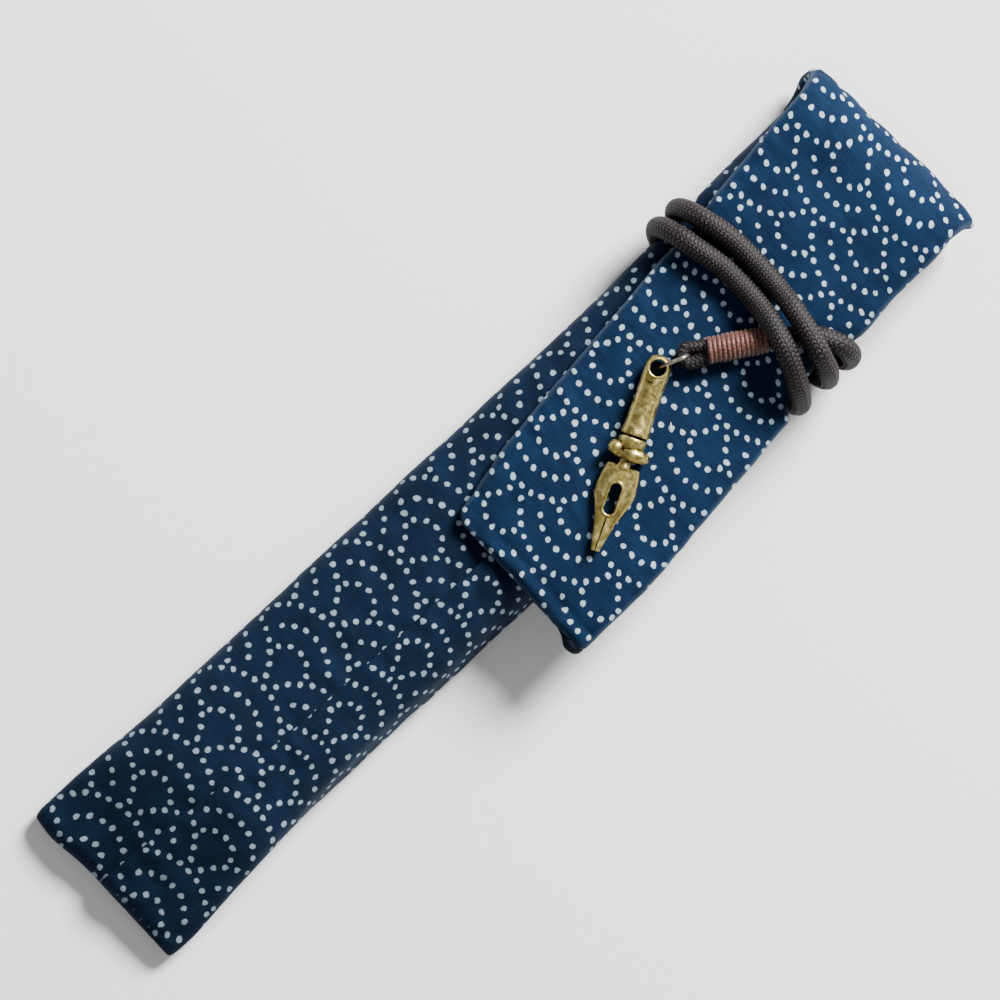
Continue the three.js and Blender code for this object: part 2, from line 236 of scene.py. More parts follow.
class Tree:
    """A short way to write shader maths."""

    def __init__(self, name):
        self.material = bpy.data.materials.new(name)
        self.material.use_nodes = True
        self.nodes = self.material.node_tree.nodes
        self.links = self.material.node_tree.links
        self.shader = self.nodes["Principled BSDF"]

    def put(self, socket, value):
        if isinstance(value, bpy.types.NodeSocket):
            self.links.new(value, socket)
        else:
            socket.default_value = value

    def maths(self, operation, *values):
        node = self.nodes.new("ShaderNodeMath")
        node.operation = operation
        for socket, value in zip(node.inputs, values):
            self.put(socket, value)
        return node.outputs[0]

    def add(self, a, b):
        return self.maths("ADD", a, b)

    def times(self, a, b):
        return self.maths("MULTIPLY", a, b)

    def minus(self, a, b):
        return self.maths("SUBTRACT", a, b)

    def between(self, x, y, to_x, to_y):
        """Distance in the plane from (x, y) to a fixed place."""
        along, across = self.minus(x, to_x), self.minus(y, to_y)
        return self.maths("SQRT", self.add(self.times(along, along), self.times(across, across)))

    def mix(self, factor, a, b):
        """Numbers a where factor is 0 and b where it is 1."""
        return self.add(a, self.times(factor, self.minus(b, a)))

    def colour(self, factor, a, b, blend="MIX"):
        node = self.nodes.new("ShaderNodeMix")
        node.data_type = "RGBA"
        node.blend_type = blend
        self.put(node.inputs["Factor"], factor)
        self.put(node.inputs[6], a)
        self.put(node.inputs[7], b)
        return node.outputs[2]

    def ramp(self, value, start, end, low=0.0, high=1.0):
        node = self.nodes.new("ShaderNodeMapRange")
        node.interpolation_type = "SMOOTHSTEP"
        for socket, number in zip(node.inputs, (value, start, end, low, high)):
            self.put(socket, number)
        return node.outputs[0]

    def field(self, name):
        node = self.nodes.new("ShaderNodeAttribute")
        node.attribute_type = "GEOMETRY"
        node.attribute_name = name
        return node.outputs["Vector"]

    def place(self):
        return self.nodes.new("ShaderNodeTexCoord").outputs["Object"]

    def split(self, vector):
        node = self.nodes.new("ShaderNodeSeparateXYZ")
        self.put(node.inputs[0], vector)
        return node.outputs

    def join(self, x, y, z=0.0):
        node = self.nodes.new("ShaderNodeCombineXYZ")
        for socket, value in zip(node.inputs, (x, y, z)):
            self.put(socket, value)
        return node.outputs[0]

    def scaled(self, vector, x, y, z):
        node = self.nodes.new("ShaderNodeVectorMath")
        node.operation = "MULTIPLY"
        self.put(node.inputs[0], vector)
        node.inputs[1].default_value = (x, y, z)
        return node.outputs[0]

    def noise(self, vector, scale, detail, roughness=0.5):
        node = self.nodes.new("ShaderNodeTexNoise")
        self.put(node.inputs["Vector"], vector)
        node.inputs["Scale"].default_value = scale
        node.inputs["Detail"].default_value = detail
        node.inputs["Roughness"].default_value = roughness
        return node.outputs["Fac"]

    def bump(self, height, distance, strength):
        node = self.nodes.new("ShaderNodeBump")
        node.inputs["Strength"].default_value = strength
        node.inputs["Distance"].default_value = distance
        self.put(node.inputs["Height"], height)
        return node.outputs[0]

    def finish(self, colour, roughness, normal=None, metallic=0.0, **uniform):
        self.put(self.shader.inputs["Base Color"], colour)
        self.put(self.shader.inputs["Roughness"], roughness)
        self.put(self.shader.inputs["Metallic"], metallic)
        if normal is not None:
            self.put(self.shader.inputs["Normal"], normal)
        for name, value in uniform.items():
            self.shader.inputs[name.replace("_", " ")].default_value = value
        return self.material


# Wave scales printed in dots: rings round centres that lie on a lattice, each scale hiding part of
# the one behind it. The lattice is PERIOD_U by PERIOD_V with a second row halfway between.
PERIOD_U = 16.0
PERIOD_V = 23.0
RINGS = [(4.05, 30.0), (7.65, 16.4), (11.35, 10.6)]  # radius, and degrees from dot to dot
SCALE_EDGE = 12.0
DOT_R = 0.49


def print_dots(tree, u, v):
    """1 on a printed dot and 0 on the ground."""
    radius, angle = 30.0, 0.0
    for order in range(5):
        half = order % 2 == 0
        centre = (3 - order) * PERIOD_U / 2
        cell = tree.maths("FLOOR", tree.times(u, 1 / PERIOD_U))
        along = tree.minus(tree.minus(u, tree.times(cell, PERIOD_U)), centre)
        shifted = tree.add(v, PERIOD_V / 2) if half else v
        row = tree.maths("ROUND", tree.times(shifted, 1 / PERIOD_V))
        across = tree.minus(shifted, tree.times(row, PERIOD_V))
        distance = tree.maths("SQRT", tree.add(tree.times(along, along), tree.times(across, across)))
        turn = tree.maths("ARCTAN2", across, along)
        inside = tree.maths("LESS_THAN", distance, SCALE_EDGE)
        radius = tree.mix(inside, radius, distance)
        angle = tree.mix(inside, angle, turn)
    dots = 0.0
    for ring, spacing in RINGS:
        step = math.radians(spacing)
        nearest = tree.times(tree.maths("ROUND", tree.times(angle, 1 / step)), step)
        sideways = tree.times(tree.minus(angle, nearest), ring)
        outwards = tree.minus(radius, ring)
        away = tree.maths("SQRT", tree.add(tree.times(sideways, sideways), tree.times(outwards, outwards)))
        # a dot that a nearer scale would cut is left out whole
        dot_u = tree.times(tree.maths("COSINE", nearest), ring)
        dot_v = tree.maths("ABSOLUTE", tree.times(tree.maths("SINE", nearest), ring))
        clear = tree.maths("MINIMUM",
                           tree.between(dot_u, dot_v, -PERIOD_U / 2, PERIOD_V / 2),
                           tree.between(dot_u, dot_v, -PERIOD_U, 0.0))
        whole = tree.maths("GREATER_THAN", clear, SCALE_EDGE + 0.25)
        dot = tree.times(whole, tree.ramp(away, DOT_R - 0.09, DOT_R + 0.09, 1.0, 0.0))
        dots = tree.maths("MAXIMUM", dots, dot)
    return dots


THREAD_PITCH = 0.3  # from one thread of the cloth to the next


def weave(tree, u, v):
    """Height of a plain weave whose crosswise threads stand out, as on a fine poplin."""
    across = tree.maths("SINE", tree.times(u, TAU / THREAD_PITCH))
    along = tree.maths("SINE", tree.times(v, TAU / (THREAD_PITCH * 0.8)))
    return tree.add(tree.times(across, 0.5), tree.times(tree.times(across, along), 0.3))


def cotton(name, ground, deep, printed=None, shade=1.0):
    tree = Tree(name)
    place = tree.field("pattern")
    u, v, wear = tree.split(place)
    threads = tree.noise(tree.join(tree.times(u, 3.4), tree.times(v, 0.22)), 1.0, 2.0, 0.6)
    slubs = tree.noise(tree.join(tree.times(u, 0.3), tree.times(v, 4.0)), 1.0, 2.0, 0.6)
    cloudy = tree.noise(tree.join(u, v), 0.11, 3.0, 0.55)
    tone = tree.add(tree.times(threads, 0.55), tree.add(tree.times(slubs, 0.2), tree.times(cloudy, 0.35)))
    colour = tree.colour(tree.ramp(tone, 0.34, 0.74), deep, ground)
    height = weave(tree, u, v)
    if printed is not None:
        wobble = tree.minus(tree.noise(tree.join(u, v), 0.55, 1.0), 0.5)
        wobble2 = tree.minus(tree.noise(tree.join(v, u, 7.0), 0.55, 1.0), 0.5)
        ragged = tree.minus(tree.noise(tree.join(u, v, 3.0), 2.2, 1.0), 0.5)
        dots = print_dots(
            tree,
            tree.add(u, tree.add(tree.times(wobble, 0.7), tree.times(ragged, 0.26))),
            tree.add(v, tree.add(tree.times(wobble2, 0.7), tree.times(ragged, -0.22))))
        ink = tree.noise(tree.join(tree.times(u, 2.4), tree.times(v, 1.2), 11.0), 1.0, 2.0, 0.6)
        pale = tree.colour(tree.ramp(ink, 0.3, 0.7), tuple(0.74 * c for c in printed[:3]) + (1,), printed)
        colour = tree.colour(dots, colour, pale)
    colour = tree.colour(wear, colour, (0.24, 0.34, 0.48, 1), "MIX")
    # painted shade: a copy of this cloth can be multiplied darker all over, to stand for cloth that lies in
    # shade
    shaded = tree.colour(1.0, colour, (shade, shade, shade, 1), "MULTIPLY")
    normal = tree.bump(height, 0.05 * MM, 0.55)
    return tree.finish(shaded, 0.82, normal, Sheen_Weight=0.04, Sheen_Roughness=0.5,
                       Sheen_Tint=(0.45, 0.62, 0.9, 1), Specular_IOR_Level=0.09)


def stitch_thread(name, light, dark):
    tree = Tree(name)
    place = tree.place()
    fibres = tree.noise(tree.scaled(place, 2400, 2400, 2400), 1.0, 3.0, 0.6)
    colour = tree.colour(tree.ramp(fibres, 0.35, 0.7), dark, light)
    return tree.finish(colour, 0.75, tree.bump(fibres, 0.08 * MM, 0.6), Sheen_Weight=0.2)


def waxed_cord_material():
    tree = Tree("waxed_cord")
    along, around, relief = tree.split(tree.field("braid"))
    fibres = tree.noise(tree.join(tree.times(along, 3.0), tree.times(around, 4.0)), 1.0, 3.0, 0.65)
    patches = tree.noise(tree.join(tree.times(along, 0.22), tree.times(around, 0.5), 5.0), 1.0, 2.0)
    # dark is painted shade for the braid's grooves; brown is the cord's own tone
    dark = (0.0018, 0.0017, 0.0016, 1)
    brown = tree.colour(tree.ramp(patches, 0.35, 0.65),
                        (0.0065, 0.0056, 0.0050, 1), (0.0125, 0.0090, 0.0094, 1))
    # the braid's relief plus random fibre tone: the mask for the painted shade and the painted highlight
    # below
    crest_painted_light = tree.add(relief, tree.times(tree.minus(fibres, 0.5), 0.9))
    # painted shade: low in the braid's relief the colour goes to near black, and random fibres darken it too
    colour = tree.colour(tree.ramp(crest_painted_light, 0.2, 0.85), dark, brown)
    # painted highlight: a pale mauve on the highest ridges of the braid
    colour = tree.colour(tree.times(tree.ramp(crest_painted_light, 0.75, 1.2), 0.8), colour, (0.17, 0.122, 0.128, 1))
    roughness = tree.add(0.42, tree.times(fibres, 0.3))
    return tree.finish(colour, roughness, tree.bump(fibres, 0.12 * MM, 0.7), Specular_IOR_Level=0.24)


def whipping_material():
    tree = Tree("whipping_thread")
    along, around, _ = tree.split(tree.field("braid"))
    slant = tree.add(along, tree.times(around, 0.35))
    plies = tree.maths("SINE", tree.times(slant, TAU / 0.55))
    fibres = tree.noise(tree.join(tree.times(along, 2.0), tree.times(around, 3.0)), 1.0, 3.0, 0.6)
    tone = tree.add(tree.times(plies, 0.07), fibres)
    colour = tree.colour(tree.ramp(tone, 0.32, 0.75), (0.020, 0.006, 0.0045, 1), (0.21, 0.066, 0.040, 1))
    return tree.finish(colour, 0.5, tree.bump(tone, 0.1 * MM, 0.6), Sheen_Weight=0.15,
                       Specular_IOR_Level=0.5)


def aged_metal(name, bright, mid, dark, roughness):
    """Metal that is dark in its recesses and rubbed bright in scattered patches."""
    tree = Tree(name)
    place = tree.place()
    hollow = tree.nodes.new("ShaderNodeAmbientOcclusion")
    hollow.samples = 8
    hollow.inputs["Distance"].default_value = 1.3 * MM
    grain = tree.noise(tree.scaled(place, 900, 900, 900), 1.0, 4.0, 0.62)
    blotches = tree.noise(tree.scaled(place, 400, 400, 400), 1.0, 4.0, 0.6)
    open_ = tree.add(hollow.outputs["AO"], tree.times(tree.minus(blotches, 0.5), 0.9))
    colour = tree.colour(tree.ramp(open_, 0.4, 1.1), dark, mid)
    rubbed = tree.ramp(tree.add(grain, tree.times(blotches, 0.5)), 0.68, 0.95)
    colour = tree.colour(tree.times(rubbed, 0.45), colour, bright)
    rough = tree.add(roughness, tree.times(tree.minus(grain, 0.5), 0.7))
    normal = tree.bump(tree.add(grain, blotches), 0.16 * MM, 0.8)
    return tree.finish(colour, rough, normal, metallic=1.0)


NAVY = (0.0026, 0.0170, 0.049, 1)
NAVY_DEEP = (0.0010, 0.0072, 0.023, 1)
DOT = (0.40, 0.51, 0.60, 1)
printed_cotton = cotton("printed_cotton", NAVY, NAVY_DEEP, DOT)
# painted shade: the sleeve uses the same printed cotton as the flap, multiplied down to 0.6 for the shade
# that lies on it beside the flap
printed_sleeve_painted_shade = cotton("printed_cotton_sleeve_painted_shade", NAVY, NAVY_DEEP, DOT, 0.6)
lining_cotton = cotton("lining_cotton", (0.014, 0.026, 0.062, 1), (0.005, 0.010, 0.028, 1))
hem_cotton = cotton("hem_cotton", (0.008, 0.013, 0.020, 1), (0.003, 0.005, 0.009, 1))
blue_thread = stitch_thread("stitch_thread", (0.040, 0.085, 0.16, 1), (0.006, 0.014, 0.04, 1))
pale_thread = stitch_thread("pale_thread", (0.42, 0.52, 0.62, 1), (0.16, 0.24, 0.34, 1))
lint_white = stitch_thread("lint", (0.75, 0.8, 0.84, 1), (0.5, 0.55, 0.6, 1))
cord_cotton = waxed_cord_material()
copper_thread = whipping_material()
brass = aged_metal("antique_brass", (1.0, 0.85, 0.42, 1), (0.54, 0.42, 0.115, 1),
                   (0.020, 0.014, 0.004, 1), 0.36)
wire_metal = aged_metal("ring_wire", (0.80, 0.74, 0.62, 1), (0.36, 0.32, 0.25, 1),
                        (0.08, 0.07, 0.05, 1), 0.28)

# ---------------------------------------------------------------- outlines, as in the CAD

def cinch(x, drawn=(41.8, 45.4, 65.4, 69.0)):
    """1 where the cord draws the case in and 0 away from it."""
    return smooth(drawn[0], drawn[1], x) * (1 - smooth(drawn[2], drawn[3], x))


LEFT_PULL = (50.5, 54.0, 60.0, 63.5)  # the strands hide most of where they bite into the edges
RIGHT_PULL = (46.8, 50.0, 58.5, 66.5)


def turned(x, y):
    return x - math.tan(FOLD_TURN) * y * smooth(40, MOUTH, x)


def sleeve_edges(x, depth=0.0):
    half = 15.2 + 0.9 * (1 - smooth(-92, -60, x)) + 1.8 * smooth(30, 84, x)
    top = lerp(4.8, SLEEVE_TOP, smooth(-98, -64, x))
    tip = np.sqrt(np.clip(1 - (np.clip(-90.6 - x, 0, None) / (-90.6 - SLEEVE_END + 0.02)) ** 2, 0.004, 1))
    left = 0.3 + half - 0.9 * cinch(x, LEFT_PULL) - depth
    right = 0.3 - half - 1.1 * (1 - smooth(-92, -66, x)) + 0.4 * cinch(x, RIGHT_PULL) + depth
    bottom = 4.2 * cinch(x)
    middle = (bottom + top) / 2 * lerp(0.8, 1, smooth(SLEEVE_END, -84, x))
    tall = (top - bottom) / 2 * tip
    return left - 1.0 * (1 - tip), right + 0.9 * (1 - tip), middle, np.maximum(tall - depth, 0.28)


def hem_y(x):
    return lerp(-1.5, -5.0, smooth(-100, -46, x)) - 0.016 * max(x + 60, 0)


def side_lean(x, y, z):
    """How far the right side leans in over its foot, where the padding has rolled over."""
    rolled = smooth(-68, -50, x) * (1 - smooth(-4, 16, x)) * smooth(-4.5, -13, y)
    return rolled * lerp(-0.3, 1.5, smooth(0.5, 8.5, z))


def flap_middle(x):
    return 0.1 - (FOLD_X - x) * math.tan(2 * FOLD_TURN)


def flap_sides(x):
    half = lerp(16.1, 17.6, smooth(FLAP_END, 12, x))
    left = flap_middle(x) + half - 0.5 * cinch(x, LEFT_PULL) + 0.1 * smooth(62, 80, x)
    right = flap_middle(x) - half + 2.6 * cinch(x, RIGHT_PULL) - 1.0 * smooth(74, 84, x)
    return left, right


def flap_sag(x, y):
    droop = (1 - smooth(-21, -11, y)) * lerp(1.2, 3.0, cinch(x, RIGHT_PULL))
    return droop + 0.7 * smooth(9, 14, y) * cinch(x, LEFT_PULL)


# ---------------------------------------------------------------- sleeve

ALONG = 400
ROUND = 210
TUCK = 2.2  # how far the under edge runs beneath the lapped one


def sleeve_path(x, depth, start, stop):
    """Points of one section, from start round the left edge, the back and the right edge to stop."""
    left, right, middle, tall = sleeve_edges(x, depth)
    centre, wide = (left + right) / 2, (left - right) / 2
    power = 2.9  # of the superellipse that the section follows
    under_power = 4.2  # squarer underneath, where it lies flat

    def top_angle(y):
        reach = (y - centre) / wide
        return math.acos(math.copysign(abs(reach) ** (power / 2), reach))

    angle = np.linspace(top_angle(start), top_angle(stop) - TAU, 900)
    cos, sin = np.cos(angle), np.sin(angle)
    y = centre + wide * np.sign(cos) * np.abs(cos) ** (2 / power)
    squareness = np.where(sin < 0, 2 / under_power, 2 / power)
    z = middle + tall * np.sign(sin) * np.abs(sin) ** squareness
    lengths = np.concatenate([[0], np.cumsum(np.hypot(np.diff(y), np.diff(z)))])
    places = np.linspace(0, lengths[-1], ROUND)
    return np.interp(places, lengths, y), np.interp(places, lengths, z), places


def sleeve_sheet():
    """Outside and inside points of the wrapped cloth, and their place on the print."""
    ends = SLEEVE_END + 3.2 * np.linspace(0, 1, 14) ** 2
    xs = np.concatenate([ends, np.linspace(SLEEVE_END + 3.6, MOUTH, ALONG)])
    rows = [sleeve_path(x, 0.0, hem_y(x), hem_y(x) + TUCK) for x in xs]
    y, z, run = (np.array(part) for part in zip(*rows))
    x = np.repeat(xs[:, None], ROUND, 1)
    total = run[:, -1:] - TUCK
    across = np.gradient(y, axis=1)
    rise = np.gradient(z, axis=1)
    size = np.hypot(across, rise)
    out_y, out_z = rise / size, -across / size

    # print: true on the front, and stretched a little round the back so that both edges are right
    share = run / total
    seam_y = np.array([hem_y(station) for station in xs])[:, None]
    back = smooth(0.28, 0.62, share)
    v = seam_y + run - 5.9 + back * (71.9 - total)
    u = x + 77.6 + 7.1 * back

    # relief: padding, creases along the seam and the ends, and the pull of the cord
    to_end = total - run
    seam = np.minimum(run, np.abs(to_end))
    low = x - SLEEVE_END
    relief = 0.24 * waves(x, run, 21, 3) + 0.11 * waves(x, run, 8, 4) + 0.04 * waves(x, run, 3.5, 5)
    relief += 0.13 * waves(x, run * 0.35, 5, 6) * bell(seam, 5)
    relief += 0.22 * waves(x * 0.25, run, 4.2, 7) * bell(low, 9) * smooth(0.5, 3, low)
    relief += 0.16 * waves(x * 0.3, run, 5, 8) * (bell(x - 42, 7) + bell(x - 69, 6))
    stitches = 0.5 + 0.5 * np.cos(TAU * x / 4.4)
    relief -= 0.16 * stitches * bell(seam, 1.3)
    roll = smooth(-30, -10, x) * (1 - smooth(2, 16, x))
    relief -= 0.9 * roll * bell(to_end - 5, 4)
    relief -= 0.18 * bell(run - 0.2, 0.9)
    relief += 0.2 * (1 - smooth(2.3, 7.0, run)) - 0.66 * (1 - smooth(0.2, 4.5, to_end))
    relief *= 1 - 0.75 * smooth(0.35, 0.45, share) * (1 - smooth(0.62, 0.72, share))
    relief *= 0.2 + 0.8 * np.abs(out_z)
    relief = np.where(z > SLEEVE_TOP - 2, np.minimum(relief, 0.35), relief)
    x = x - (0.75 + 0.9 * bell(y - 12, 5)) * (1 - smooth(0, 9, low))
    shift = side_lean(x, y, z)
    y, z = y + out_y * relief + shift, np.maximum(z + out_z * relief, 0.02)
    outside = np.stack([turned(x, y), y, z], -1)
    thick = np.minimum(CLOTH, 0.5 * sleeve_edges(xs)[3])[:, None]
    inner_y, inner_z = y - out_y * thick, np.maximum(z - out_z * thick, 0.03)
    inside = np.stack([turned(x, inner_y), inner_y, inner_z], -1)
    return outside, inside, np.stack([u, v, np.zeros_like(u)], -1)


def wrapped_cloth(name, outside, inside, pattern, materials):
    """A closed sheet between two grids of points."""
    rows, columns, _ = outside.shape
    loop = np.concatenate([outside, inside[:, ::-1]], 1)
    fields = np.concatenate([pattern, pattern[:, ::-1]], 1)
    faces = grid_faces(rows, 2 * columns)
    for row in (0, rows - 1):
        for j in range(columns - 1):
            quad = [row * 2 * columns + k for k in (j, j + 1, 2 * columns - 2 - j, 2 * columns - 1 - j)]
            faces.append(quad if row else quad[::-1])
    made = new_object(name, loop.reshape(-1, 3), faces, materials, fields={"pattern": fields.reshape(-1, 3)})
    return face_out(made)


def face_out(made):
    work = bmesh.new()
    work.from_mesh(made.data)
    bmesh.ops.remove_doubles(work, verts=work.verts, dist=1e-6)
    bmesh.ops.recalc_face_normals(work, faces=work.faces)
    work.to_mesh(made.data)
    work.free()
    return made


outside, inside, pattern = sleeve_sheet()
sleeve = wrapped_cloth("sleeve_cloth", outside, inside, pattern, [printed_sleeve_painted_shade])
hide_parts("outer_shell")
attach(sleeve, "case")


def ring_path(x, depth, count=96):
    left, right, middle, tall = sleeve_edges(x, depth)
    angle = np.arange(count) * TAU / count
    cos, sin = np.cos(angle), np.sin(angle)
    y = (left + right) / 2 + (left - right) / 2 * np.sign(cos) * np.abs(cos) ** 0.62
    z = middle + tall * np.sign(sin) * np.abs(sin) ** 0.62
    y = y + side_lean(x, y, z)
    return np.stack([turned(x, y), y, z], -1)


def sleeve_pocket():
    """The lining: a bag inside the sleeve, with its padding's edge hidden by the binding."""
    xs = np.concatenate([[-86, -85.6, -84.5], np.linspace(-82, MOUTH - 0.2, 90)])
    outer = [ring_path(x, 1.2) for x in xs]
    inner = [ring_path(x, 1.9) for x in xs[1:]]
    points = np.array(outer + inner[::-1])
    ripple = 0.12 * waves(points[..., 0], points[..., 1], 9, 21)
    points[..., 2] += ripple * smooth(-80, -70, points[..., 0])
    vertices, faces = tube(points)
    fields = np.stack([vertices[:, 0], vertices[:, 1], 0 * vertices[:, 0]], -1)
    return new_object("sleeve_pocket", vertices, faces, [lining_cotton], fields={"pattern": fields})


pocket = face_out(sleeve_pocket())
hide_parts("sleeve_lining", "sleeve_padding")
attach(pocket, "case")


def joined(name, parts, materials, field="pattern"):
    """One object from several (points, field values) tubes."""
    vertices, faces, fields = [], [], []
    count = 0
    for points, values in parts:
        made, made_faces = tube(points, count)
        ends = [values[0].mean(0)[None], values[-1].mean(0)[None]]
        vertices.append(made)
        faces.extend(made_faces)
        fields.append(np.concatenate([values.reshape(-1, 3), *ends]))
        count += len(made)
    values = {field: np.concatenate(fields)}
    return new_object(name, np.concatenate(vertices), faces, materials, fields=values)


def plain_field(points):
    """Length along and round a tube, as the thread and cord materials want them."""
    columns = points.shape[1]
    middle = points.mean(1)
    along = np.concatenate([[0], np.cumsum(np.linalg.norm(np.diff(middle, axis=0), axis=1))])
    girth = np.linalg.norm(points[:, 1] - points[:, 0], axis=-1).mean() * columns
    around = np.arange(columns) * girth / columns
    return np.stack(np.broadcast_arrays(along[:, None], around[None], 0.6), -1)


def thread_run(path, radius, around=10):
    path = even_steps(np.array(path, float), 0.12)
    ends = np.linspace(0, 1, len(path))
    taper = np.sqrt(np.clip(1 - np.abs(2 * ends - 1) ** 8, 0.05, 1))
    points = sweep(path, radius * taper, around)
    return points, plain_field(points)


def surface_z(x, y):
    """Height of the sleeve's top near a place."""
    gap = (outside[..., 0] - x) ** 2 + (outside[..., 1] - y) ** 2 + np.where(outside[..., 2] < 2.2, 1e6, 0)
    row, column = np.unravel_index(np.argmin(gap + 0.001 * (20 - outside[..., 2])), gap.shape)
    return outside[row, column, 2]


# small slip stitches catch the lapped edge down
draw = np.random.default_rng(12)
stitches = []
for x in np.arange(-88.4, 80, 4.4):
    y = hem_y(x)
    lean = draw.uniform(-0.35, 0.35)
    start = [x + lean, y + 0.75, surface_z(x, y + 0.75) - 0.05]
    over = [x, y - 0.05, surface_z(x, y + 0.3) + 0.10]
    end = [x - lean - 0.2, y - 0.85, surface_z(x, y - 0.85) - 0.02]
    stitches.append(thread_run(curve_through([start, over, end], 8), 0.15))
closing = joined("closing_stitches", stitches, [blue_thread])
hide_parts("closing_stitch", "closing_hem")
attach(closing, "case")

# the closed end: its edge is whipped over with thread
end_stitches = []
for y in np.arange(-14.6, 15.4, 1.9):
    lean = draw.uniform(-0.3, 0.3)
    x = SLEEVE_END - 0.45 - 0.75 * float(bell(y - 12, 5))
    path = [[x + 1.9, y + lean, surface_z(x + 1.9, y)], [x + 0.7, y + lean / 2, surface_z(x + 0.9, y) + 0.16],
            [x - 0.12, y, 1.6], [x + 0.5, y - lean, 0.35]]
    end_stitches.append(thread_run(curve_through(path, 8), 0.14))
end_sewing = joined("end_stitches", end_stitches, [blue_thread])
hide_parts("end_stitch", "end_hem")
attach(end_sewing, "case")


def mouth_rim():
    """A bead of doubled cloth round the front and sides of the mouth."""
    ring = ring_path(MOUTH + 0.2, 1.05, 240)
    middle = sleeve_edges(MOUTH)[2]
    keep = ring[ring[:, 2] > middle * 0.45]
    order = np.argsort(np.arctan2(keep[:, 2] - middle * 0.45, keep[:, 1]))
    path = even_steps(keep[order], 0.5)
    angles = np.arange(16) * TAU / 16
    length = np.cumsum(np.full(len(path), 0.5))
    pucker = 1 + 0.1 * np.sin(TAU * length / 3.1)
    outwards = unit(np.stack([0 * path[:, 0], path[:, 1] * 0.35, path[:, 2] - middle], -1))
    forward = np.array([1.0, 0, 0])
    bead = 1.12 * pucker
    points = path[:, None] + outwards[:, None] * bead[:, None, None] * np.cos(angles)[None, :, None] \
        + forward * 0.62 * np.sin(angles)[None, :, None]
    fields = np.stack([points[..., 0] + 84, points[..., 1], 0 * points[..., 0]], -1)
    return joined("mouth_rim", [(points, fields)], [printed_sleeve_painted_shade])


rim = mouth_rim()
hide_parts("mouth_binding")
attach(rim, "case")
tacks = []
for node in ("mouth_tack_left", "mouth_tack_right"):
    low, high = box_mm(node)
    x, y = (low[0] + high[0]) / 2, (low[1] + high[1]) / 2
    for turn in range(4):
        z = lerp(low[2] + 0.1, high[2] - 0.1, turn / 3)
        loop = [[x - 0.5, y - 0.4, z], [x + 0.3, y - 0.5, z + 0.1],
                [x + 0.5, y + 0.3, z], [x - 0.2, y + 0.6, z + 0.1]]
        tacks.append(thread_run(curve_through(loop, 8), 0.16))
tack = joined("mouth_tacks", tacks, [pale_thread])
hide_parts("mouth_tack_left", "mouth_tack_right")
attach(tack, "case")

# ---------------------------------------------------------------- fold and flap

ACROSS = 190
FLAP_THICK = FLAP_TOP - FLAP_BOTTOM
FOLD_THICK = 2.4
LINE = np.array([-math.sin(FOLD_TURN), math.cos(FOLD_TURN), 0])  # along the fold
OUT = np.array([math.cos(FOLD_TURN), math.sin(FOLD_TURN), 0])  # away from the case
SKEW = math.tan(FOLD_TURN)


QUARTER = FOLD_R * math.pi / 2  # length of half the fold
FOLD_REACH = 1.2  # the fold stands out further than a half circle


def pad_place(far, side, height):
    """A point of the strip that runs from the flap round the fold to the back.

    far is measured along it: it is x on the flap, and goes on as length round the fold. side is y, and
    height is counted from the strip's outer face."""
    angle = math.pi / 2 - np.clip((far - FOLD_X) / FOLD_R, 0, math.pi)
    flat_x = np.minimum(far, FOLD_X)
    flat = np.stack([turned(flat_x, side), side, FLAP_TOP + height - flap_sag(flat_x, side)], -1)
    past = np.clip(far - FOLD_X, 0, None)
    slide = side / math.cos(FOLD_TURN) + SKEW * past * (1 - smooth(QUARTER, 2 * QUARTER, past))
    slide = slide - 0.9 * smooth(-6, -18, side) * bell(past - QUARTER, 4)
    centre = np.array([FOLD_X, 0, FOLD_R])
    radius = FOLD_R + height
    bent = centre + LINE * slide[..., None] \
        + OUT * (radius * FOLD_REACH * np.cos(angle))[..., None] + UP * (radius * np.sin(angle))[..., None]
    bent[..., 2] -= flap_sag(np.full_like(side, FOLD_X), side) * smooth(-0.2, 1, np.sin(angle))
    placed = np.where((far > FOLD_X)[..., None], bent, flat)
    placed[..., 2] = np.maximum(placed[..., 2], 0.03)
    return placed


def print_place(far, side):
    """Place on the print, which runs on over the fold and turns a little towards the free end."""
    row = 0.222 * far - 0.00062 * far**2
    v = side - row
    u = -(far + lerp(0.091, -0.11, smooth(30, 90, far)) * v - 1.6) * 1.026
    return u, v


